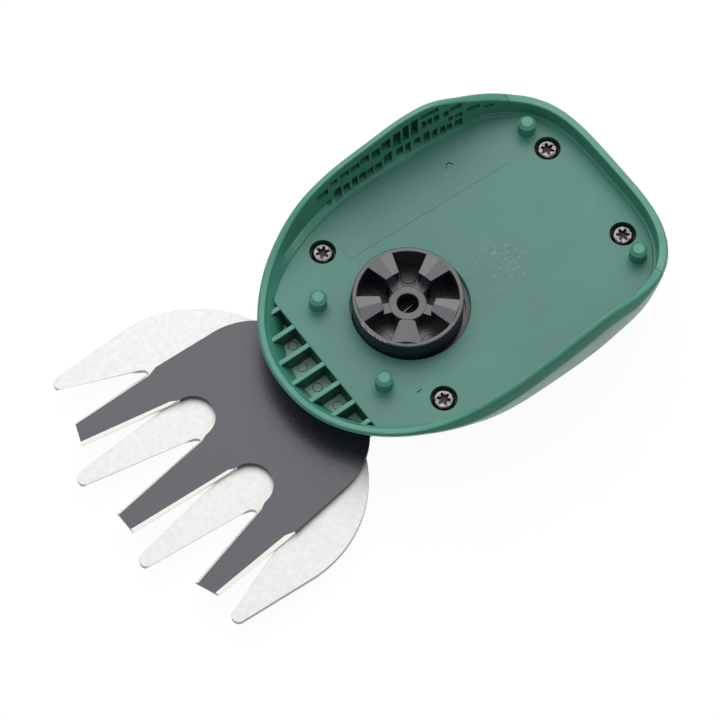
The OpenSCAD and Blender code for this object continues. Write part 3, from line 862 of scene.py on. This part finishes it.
def row_tree():
    """A row of copies of a shape along Y, centred."""
    tree, given, out = new_tree("row_of_shapes", Start="Geometry", Shape="Object", Count="Int", Pitch="Float",
                                Finish="Material")
    add, link = tree.nodes.new, tree.links.new
    spots, index, at = add("GeometryNodePoints"), add("GeometryNodeInputIndex"), add("ShaderNodeCombineXYZ")
    link(given.outputs["Count"], spots.inputs["Count"])
    last = figure(tree, "SUBTRACT", given.outputs["Count"], 1)
    off = figure(tree, "SUBTRACT", index.outputs[0], figure(tree, "MULTIPLY", last, 0.5))
    link(figure(tree, "MULTIPLY", off, given.outputs["Pitch"]), at.inputs["Y"])
    link(at.outputs[0], spots.inputs["Position"])
    put_on(tree, given, out, spots)
    return tree


# near-black green: painted shade in counterbores, cells, nicks and ejector rings, and on the pocket's chord
# wall and rib flanks
shaded_green = moulded("oily_green", (0.006, 0.058, 0.041), 0.5, 0.42, 0.6)
pocket_skin = moulded("pale_pocket", (0.28, 0.48, 0.42), 0.48, 0.42, 0.56)
# a darker copy of the green that reflects less: painted shade on the outer band of the wing at +Y
shade_band_green = moulded("eroded_band", shade(GREEN, 0.95), 0.6, 0.52, 0.68, 0.25, 0.15)
floor_skin = new_finish("eroded_floor", FLOOR_SKIN, 0.44)
clean = graded(floor_skin, noise(floor_skin, 35), *NOISE_SPAN,
               shade(FLOOR_SKIN, 0.9), shade(FLOOR_SKIN, 1.1))
near_spot = ranged(floor_skin, how_far(floor_skin, SCUFFED_SPOT), 3 * MM, 20 * MM, 0.10, -0.10)
scuffs = figure(floor_skin.node_tree, "ADD", near_spot, noise(floor_skin, 1100, 5))
scuffed_share = ranged(floor_skin, scuffs, 0.64, 0.82, 0.0, 0.36)
into(floor_skin, "Base Color", rubbed_through(floor_skin, scuffed_share, clean, SCUFFED_SKIN))
erosion = noise(floor_skin, 2400)
uneven_gloss(floor_skin, erosion, 0.38, 0.52)
raised(floor_skin, erosion, 0.18, 0.05)
tray_finishes = (moulded_green, floor_skin, shaded_green, pocket_skin, shade_band_green)
GLOSSY, SATIN, RECESS_SHADE, PALE, SHADE_BAND = range(5)

sections = around(wall_section)
tray = loft("tray_shell", [[(*outline(2 * math.pi * i / TURNS, section[k][0]), section[k][1])
                            for i, section in enumerate(sections)] for k in range(len(sections[0]))])
coat(tray, *tray_finishes)
for face in tray.data.polygons[1 + BAND_RINGS[0] * TURNS:1 + BAND_RINGS[1] * TURNS]:
    if face.center.x > BAND_END[0] * MM and face.center.y > BAND_END[1] * MM:
        face.material_index = SHADE_BAND


def paint_recess_shade(tool):
    """Makes the faces that a tool cuts take the near-black green that paints the shade of deep recesses."""
    coat(tool, *tray_finishes)
    for face in tool.data.polygons:
        face.material_index = RECESS_SHADE
    return tool


def pocket_ring(r, z, back=0.0):
    """The front pocket's outline at a height: an arc, closed by a chord that lies back of CHORD_X."""
    half_chord = math.degrees(math.acos((CHORD_X - back - POCKET_X) / r))
    return [(x, y, z) for x, y in arc(POCKET_X, 0, r, -half_chord, half_chord, 48)]


hollow = plate("tray_hollow", [p[:2] for p in hull_ring(WALL, 0)], PART_Z - 1, ROOF_Z)
work_in(hollow, block("front_block", FRONT_X, 90, -45, 45, 0, FLOOR))
for x, y in SCREW_SPOTS:
    work_in(hollow, disc("boss", x, y, BOSS_R, 0, FLOOR))
work_in(tray, hollow)
wheel_hole = lathe("wheel_hole", [
    (0, 5), (HOLE_R, 5), (HOLE_R, FLOOR - 0.2), (HOLE_R + HOLE_EDGE, FLOOR + 0.25),
    (HOLE_R + HOLE_EDGE, FLOOR + 2), (0, FLOOR + 2)])
wheel_hole.data.transform(Matrix.Translation((HOLE_MIDDLE[0] * MM, HOLE_MIDDLE[1] * MM, 0)))
work_in(tray, wheel_hole)
work_in(tray, disc("felt_seat", 0, 0, FELT_SEAT[0], 4, FELT_SEAT[1], 128))
work_in(tray, disc("pivot_relief", PIVOT_X, 0, PIVOT_RELIEF[0], 4, PIVOT_RELIEF[1]))

spread = spread_tree()
plain = dict(turn=[(0, 0, 0)] * 4, size=[(1, 1, 1)] * 4)
sink = lathe("screw_sink", [
    (0, 4), (SCREW_CLEAR_R, 4), (SCREW_CLEAR_R, HEAD_Z), (SINK_R, HEAD_Z), (SINK_R, FLOOR - 0.1),
    (SINK_R + SINK_EDGE, FLOOR + 0.2), (SINK_R + SINK_EDGE, FLOOR + 2), (0, FLOOR + 2)], 64)
work_in(tray, paint_recess_shade(run_tree("screw_sinks", spread, [(x, y, 0) for x, y in SCREW_SPOTS], Shape=sink,
                             Finish=shaded_green, **plain)))

work_in(tray, loft("front_pocket", [
    pocket_ring(POCKET_R - 3.2, POCKET_Z), pocket_ring(POCKET_R, FLOOR - 0.2),
    pocket_ring(POCKET_R + POCKET_EDGE, FLOOR + 0.1, POCKET_EDGE),
    pocket_ring(POCKET_R + POCKET_EDGE, FLOOR + 1.2, POCKET_EDGE)]))
rib_flat = ([(-RIB_T / 2, POCKET_Z - 0.5), (RIB_T / 2, POCKET_Z - 0.5)]
            + arc(RIB_T / 2 - RIB_EDGE, RIB_TOP - RIB_EDGE, RIB_EDGE, 0, 90, 4)
            + arc(RIB_EDGE - RIB_T / 2, RIB_TOP - RIB_EDGE, RIB_EDGE, 90, 180, 4))
front_rib = loft("front_rib", [[(x, y, z) for y, z in rib_flat]
                               for x in (CHORD_X - 0.6, POCKET_X + POCKET_R + 0.4)])
ribs = run_tree("front_ribs", row_tree(), [(0, 0, 0)], Shape=front_rib, Count=RIB_COUNT, Pitch=RIB_PITCH * MM,
                Finish=moulded_green)
work_in(ribs, loft("rib_trim", [
    pocket_ring(POCKET_R - 2.9, POCKET_Z - 0.4, 0.5), pocket_ring(POCKET_R + 0.4, FLOOR - 0.2, 0.5),
    pocket_ring(POCKET_R + 0.4, FLOOR + 2, 0.5)]), "INTERSECT")
work_in(tray, ribs, "UNION")
ejector_low, ejector_high = POCKET_Z - EJECTOR_DEEP, POCKET_Z + 0.5
ejector = lathe("ejector", [
    (EJECTOR_RING[0], ejector_low), (EJECTOR_RING[1], ejector_low),
    (EJECTOR_RING[1], ejector_high), (EJECTOR_RING[0], ejector_high)], 48)
work_in(tray, paint_recess_shade(run_tree("ejectors", spread, [(x, y, 0) for x, y in EJECTORS], Shape=ejector,
                             Finish=moulded_green, **plain)))

cell = block("cell", -0.5, 0.5, -4, 0, -0.5, 0.5)
spots, turns, sizes = [], [], []
for x, over, wide, high in CELLS:
    for side in (1, -1):
        back = CELL_BACK if over > LOW_CELLS_H else LOW_CELL_BACK
        spots.append((x, side * (outline_y(x, back) + along(RIM_OUT, x)), FLOOR + over))
        turns.append((0, 0, 0 if side > 0 else math.pi))
        sizes.append((wide, 1, high))
work_in(tray, paint_recess_shade(run_tree("wing_cells", spread, spots, Shape=cell, Finish=moulded_green,
                             turn=turns, size=sizes)))

peg = lathe("peg", [
    (0, FLOOR - 1), (PEG_R + 0.3, FLOOR - 1), (PEG_R + 0.3, FLOOR), (PEG_R + 0.08, FLOOR + 0.08),
    (PEG_R, FLOOR + 0.3), (PEG_R, FLOOR + PEG_H - 0.85), (PEG_R - 0.9, FLOOR + PEG_H),
    (0, FLOOR + PEG_H)], 64)
pegs = run_tree("pegs", spread, [(x, y, 0) for x, y in PEG_SPOTS], Shape=peg, Finish=moulded_green, **plain)
work_in(tray, pegs, "UNION")


def scored(start, end, half, deep):
    """A thin tool along a line on the floor."""
    way = Vector(end) - Vector(start)
    line = block("scored_line", -half, way.length + half, -half, half, -deep, 0.5)
    line.data.transform(Matrix.Translation((start[0] * MM, start[1] * MM, FLOOR * MM))
                        @ Matrix.Rotation(math.atan2(way.y, way.x), 4, "Z"))
    return line


for start, end in LINES:
    work_in(tray, scored(start, end, LINE_HALF, LINE_DEEP))
for start, end in NICKS:
    work_in(tray, paint_recess_shade(scored(start, end, NICK_HALF, NICK_DEEP)))
seam = block("raised_line", -41, 3.4, -0.10, 0.10, -0.2, 0.07)
seam.data.transform(Matrix.Translation((0, SEAM_Y * MM, FLOOR * MM)) @ Matrix.Rotation(SEAM_TURN, 4, "Z"))
work_in(tray, seam, "UNION")
for y in RIM_SPLIT_SPOTS:
    work_in(tray, block("rim_split", *RIM_SPLIT, y - 3, y + 3, FLOOR + 3, 40))
# the eroded floor, the pocket's pale floor, glossy ledges, and painted shade on the chord wall and rib flanks
for face in tray.data.polygons:
    x, y, z = face.center / MM
    upward, sunk = face.normal.z > 0.9, z < FLOOR - 0.4
    on_chord = face.normal.x > 0.9 and abs(x - CHORD_X) < 0.3
    on_rib = (abs(face.normal.y) > 0.99 and CHORD_X < x < POCKET_X + POCKET_R and z > POCKET_Z
              and abs(y) < RIBS_END_Y)
    if upward and abs(z - FLOOR) < 0.02:
        face.material_index = SATIN
    elif upward and abs(z - POCKET_Z) < 0.13:
        face.material_index = PALE
    elif upward and z > FLOOR + 0.4:
        face.material_index = GLOSSY
    elif sunk and (on_chord or on_rib):
        face.material_index = RECESS_SHADE
smooth(tray)
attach(tray, "base")
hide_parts("upper_housing")

# Tray screws: four thread-forming screws with star recesses, sunk in counterbores, that pull the
# two halves together. Passivated steel with a warm tint, flat tops worn bright.
HEAD_R = 2.85
HEAD_TOP = HEAD_Z + 2
SCREW_END = 2.8
STAR_R, STAR_LOBE = 1.5, 0.42
STAR_DEEP = 1.2
STAR_TURNS = (0.2, 0.75, 0.45, 0.1)
passivated = new_finish("passivated_steel", (0.24, 0.21, 0.208), 0.3, 1.0)
wear = noise(passivated, 900, 4)
mottled(passivated, wear, 0.35, 0.62, (0.05, 0.043, 0.042), (0.22, 0.198, 0.196))
uneven_gloss(passivated, wear, 0.26, 0.42)
raised(passivated, noise(passivated, 3500, 2), 0.12, 0.03)
# the star recess is near black: painted shade inside it
recess = new_finish("dark_recess", (0.012, 0.011, 0.011), 0.6)
uneven_gloss(recess, noise(recess, 1200, 2), 0.5, 0.7)


def star_outline(a):
    """The recess at a polar angle, with six round lobes."""
    r = STAR_R + STAR_LOBE * math.cos(6 * a)
    return (r * math.cos(a), r * math.sin(a))


screw = lathe("screw", [
    (0, SCREW_END), (THREAD_R - 0.5, SCREW_END), (THREAD_R, SCREW_END + 0.8), (THREAD_R, HEAD_Z),
    (HEAD_R, HEAD_Z), (HEAD_R, HEAD_TOP - 0.75), (HEAD_R - 0.08, HEAD_TOP - 0.5),
    (HEAD_R - 0.45, HEAD_TOP - 0.06), (HEAD_R - 0.6, HEAD_TOP), (0, HEAD_TOP)], 64)
work_in(screw, plate("star", around(star_outline, 72), HEAD_TOP - STAR_DEEP, HEAD_TOP + 1))
screws = run_tree("tray_screws", spread, [(x, y, 0) for x, y in SCREW_SPOTS], Shape=screw, Finish=passivated,
                  turn=[(0, 0, a) for a in STAR_TURNS], size=[(1, 1, 1)] * 4)
coat(screws, passivated, recess)
for face in screws.data.polygons:
    x, y, z = face.center / MM
    off_middle = min(math.hypot(x - u, y - v) for u, v in SCREW_SPOTS)
    if off_middle < STAR_R + STAR_LOBE + 0.03 and HEAD_TOP - STAR_DEEP - 0.1 < z < HEAD_TOP - 0.01:
        face.material_index = 1
smooth(screws)
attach(screws, "base")
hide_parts("housing_screws")

# Studio: white sweep under the part, one large soft light from behind it, white surroundings for
# reflections and a dimmer white for the rest, and a long lens at the photograph's angle.
SWEEP_HALF = 3000
SWEEP_Z = -0.05
SWEEP_GLOW = 1.1
GLOW_SHARE = 0.86
GLOSSY_SHARE = 0.85
DIM_WHITE = 0.42
LIGHT_DISTANCE = 1.1
# name, power, width and height of each light, and the direction it stands in
LIGHTS = [("key", 10.4, 1.3, 1.3, (-0.37, -0.51, 1.0)), ("strip", 1.2, 1.0, 0.35, (-0.59, -0.81, 0.87))]
LENS_LENGTH = 145.008
EYE_AT = (0.21263448, 0.26590083, 0.68191646)
EYE_TURN = (26.0241839, -0.100979353, 143.614189)
white = new_finish("white_sweep", (0.45, 0.45, 0.45), 0.9)
mottled(white, noise(white, 20, 2), *NOISE_SPAN, (0.43, 0.43, 0.43), (0.47, 0.47, 0.47))
add, link = white.node_tree.nodes.new, white.node_tree.links.new
lit, seen = white.node_tree.nodes["Principled BSDF"], add("ShaderNodeLightPath")
glow, part, pick = add("ShaderNodeEmission"), add("ShaderNodeMixShader"), add("ShaderNodeMixShader")
part.inputs[0].default_value = GLOW_SHARE
glow.inputs["Strength"].default_value = SWEEP_GLOW
link(figure(white.node_tree, "MULTIPLY_ADD", seen.outputs["Is Glossy Ray"], GLOSSY_SHARE,
            seen.outputs["Is Camera Ray"]), pick.inputs[0])
link(lit.outputs[0], part.inputs[1])
link(glow.outputs[0], part.inputs[2])
link(lit.outputs[0], pick.inputs[1])
link(part.outputs[0], pick.inputs[2])
link(pick.outputs[0], white.node_tree.nodes["Material Output"].inputs["Surface"])
sweep = new_piece("sweep", [(x * SWEEP_HALF, y * SWEEP_HALF, SWEEP_Z)
                            for x, y in ((-1, -1), (1, -1), (1, 1), (-1, 1))], [(0, 1, 2, 3)])
coat(sweep, white)

sky = bpy.data.worlds.new("studio")
sky.use_nodes = True
add, link = sky.node_tree.nodes.new, sky.node_tree.links.new
shown, dim = sky.node_tree.nodes["Background"], add("ShaderNodeBackground")
rays, blend = add("ShaderNodeLightPath"), add("ShaderNodeMixShader")
shown.inputs["Color"].default_value = (1, 1, 1, 1)
dim.inputs["Color"].default_value = (1, 1, 1, 1)
dim.inputs["Strength"].default_value = DIM_WHITE
link(figure(sky.node_tree, "MAXIMUM", rays.outputs["Is Camera Ray"], rays.outputs["Is Glossy Ray"]),
     blend.inputs[0])
link(dim.outputs[0], blend.inputs[1])
link(shown.outputs[0], blend.inputs[2])
link(blend.outputs[0], sky.node_tree.nodes["World Output"].inputs["Surface"])
bpy.context.scene.world = sky

for name, energy, wide, high, direction in LIGHTS:
    light = bpy.data.lights.new(name, "AREA")
    light.shape = "RECTANGLE"
    light.energy = energy
    light.size = wide
    light.size_y = high
    lamp = bpy.data.objects.new(name, light)
    bpy.context.scene.collection.objects.link(lamp)
    towards = Vector(direction).normalized()
    lamp.location = towards * LIGHT_DISTANCE
    lamp.rotation_euler = towards.to_track_quat("Z", "Y").to_euler()

lens = bpy.data.cameras.new("photo_lens")
lens.lens = LENS_LENGTH
lens.sensor_width = 36
eye = bpy.data.objects.new("photo_eye", lens)
bpy.context.scene.collection.objects.link(eye)
eye.location = EYE_AT
eye.rotation_euler = [math.radians(a) for a in EYE_TURN]
bpy.context.scene.camera = eye
bpy.context.scene.view_settings.view_transform = "Standard"
